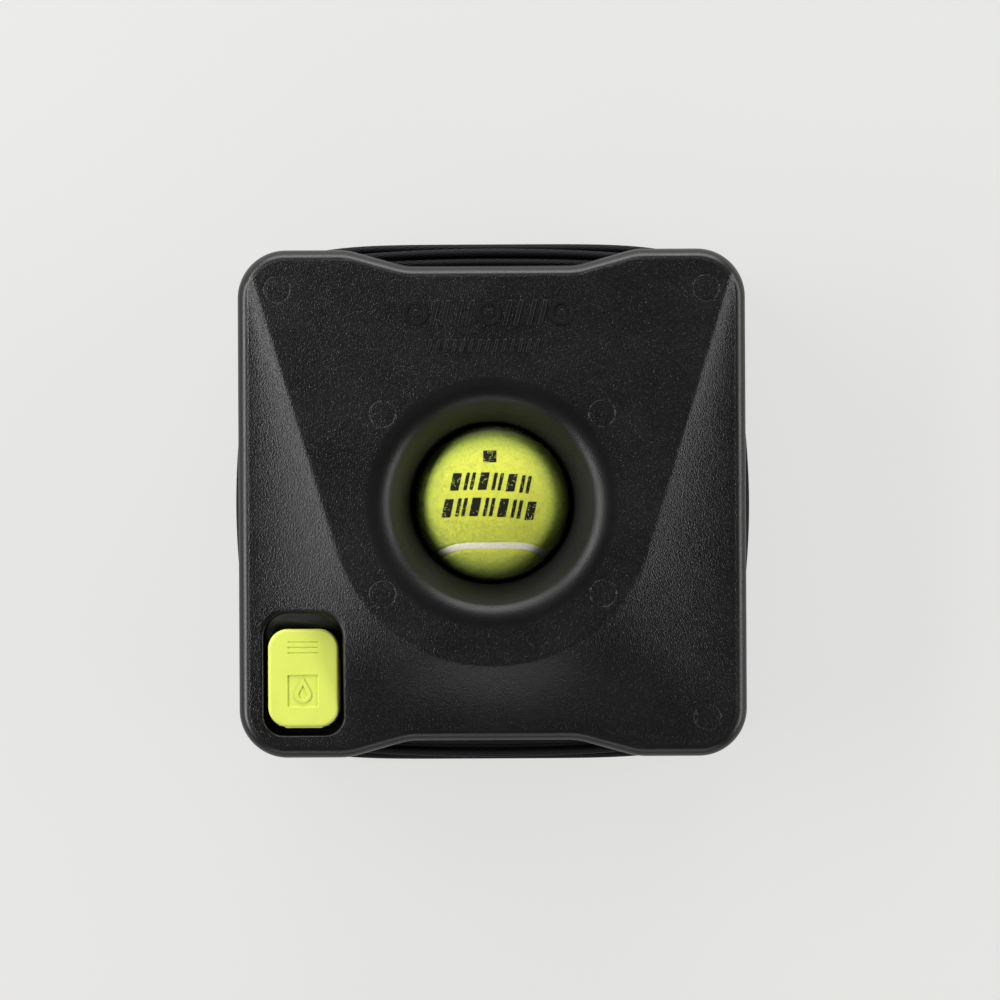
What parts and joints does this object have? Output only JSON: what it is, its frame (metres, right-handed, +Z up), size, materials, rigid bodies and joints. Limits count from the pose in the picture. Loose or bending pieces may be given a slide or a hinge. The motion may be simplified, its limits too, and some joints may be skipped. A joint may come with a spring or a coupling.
{
  "type": "tennis trainer base",
  "caption": "Weighted square base for a tethered practice ball: fan-shaped cover, ball recess, groove with wound elastic cord, flip cap on a ballast tank.",
  "frame": {"origin": "centre of the footprint, on the ground under the rubber feet", "axes": "+Z up out of the ball recess, +Y towards the wide edge of the fan, +X to the right with the filler cap at front left"},
  "size_m": [0.2214, 0.2226, 0.0788],
  "materials": {
    "tray_plastic": "black moulded, fine leather grain",
    "drum_plastic": "black moulded, satin",
    "cover_plastic": "black moulded, fine leather grain",
    "cup_plastic": "black moulded, satin",
    "tank_plastic": "dark grey blow-moulded",
    "cap_plastic": "yellow-green moulded, satin",
    "pin_steel": "drawn wire",
    "stopper_rubber": "grey, matte",
    "seal_rubber": "black, matte",
    "foot_rubber": "black, matte",
    "screw_steel": "zinc plated",
    "ball_rubber": "grey, matte",
    "ball_felt": "yellow-green felt",
    "eyelet_plastic": "black nylon",
    "cord_fabric": "bluish black braid",
    "anchor_steel": "plain",
    "grommet_rubber": "black, matte",
    "hook_plastic": "black nylon"
  },
  "bodies": {
    "base": {"base_tray": "tray_plastic", "lower_flange": "drum_plastic", "winding_drum": "drum_plastic", "upper_flange": "drum_plastic", "top_cover": "cover_plastic", "ball_cup": "cup_plastic", "tank_shell": "tank_plastic", "tank_lid": "tank_plastic", "filler_neck": "tank_plastic", "cap_hinge_pin": "pin_steel", "foot_front_left": "foot_rubber", "foot_front_right": "foot_rubber", "foot_rear_left": "foot_rubber", "foot_rear_right": "foot_rubber", "corner_screws": "screw_steel", "cup_screws": "screw_steel", "elastic_winding": "cord_fabric", "cord_anchor": "anchor_steel", "cord_grommet": "grommet_rubber", "end_hook": "hook_plastic"},
    "cap": {"filler_cap": "cap_plastic", "cap_stopper": "stopper_rubber", "cap_seal": "seal_rubber"},
    "ball": {"ball_core": "ball_rubber", "ball_felt": "ball_felt", "ball_eyelet": "eyelet_plastic"}
  },
  "joints": [
    {"name": "cap_hinge", "type": "hinge", "parent": "base", "child": "cap", "pos_m": [-0.0803, -0.0922, 0.0642], "axis": [1, 0, 0], "range_deg": [0, 95]},
    {"name": "ball_lift", "type": "slide", "parent": "base", "child": "ball", "axis": [0, 0, 1], "range_m": [0, 0.085]}
  ]
}
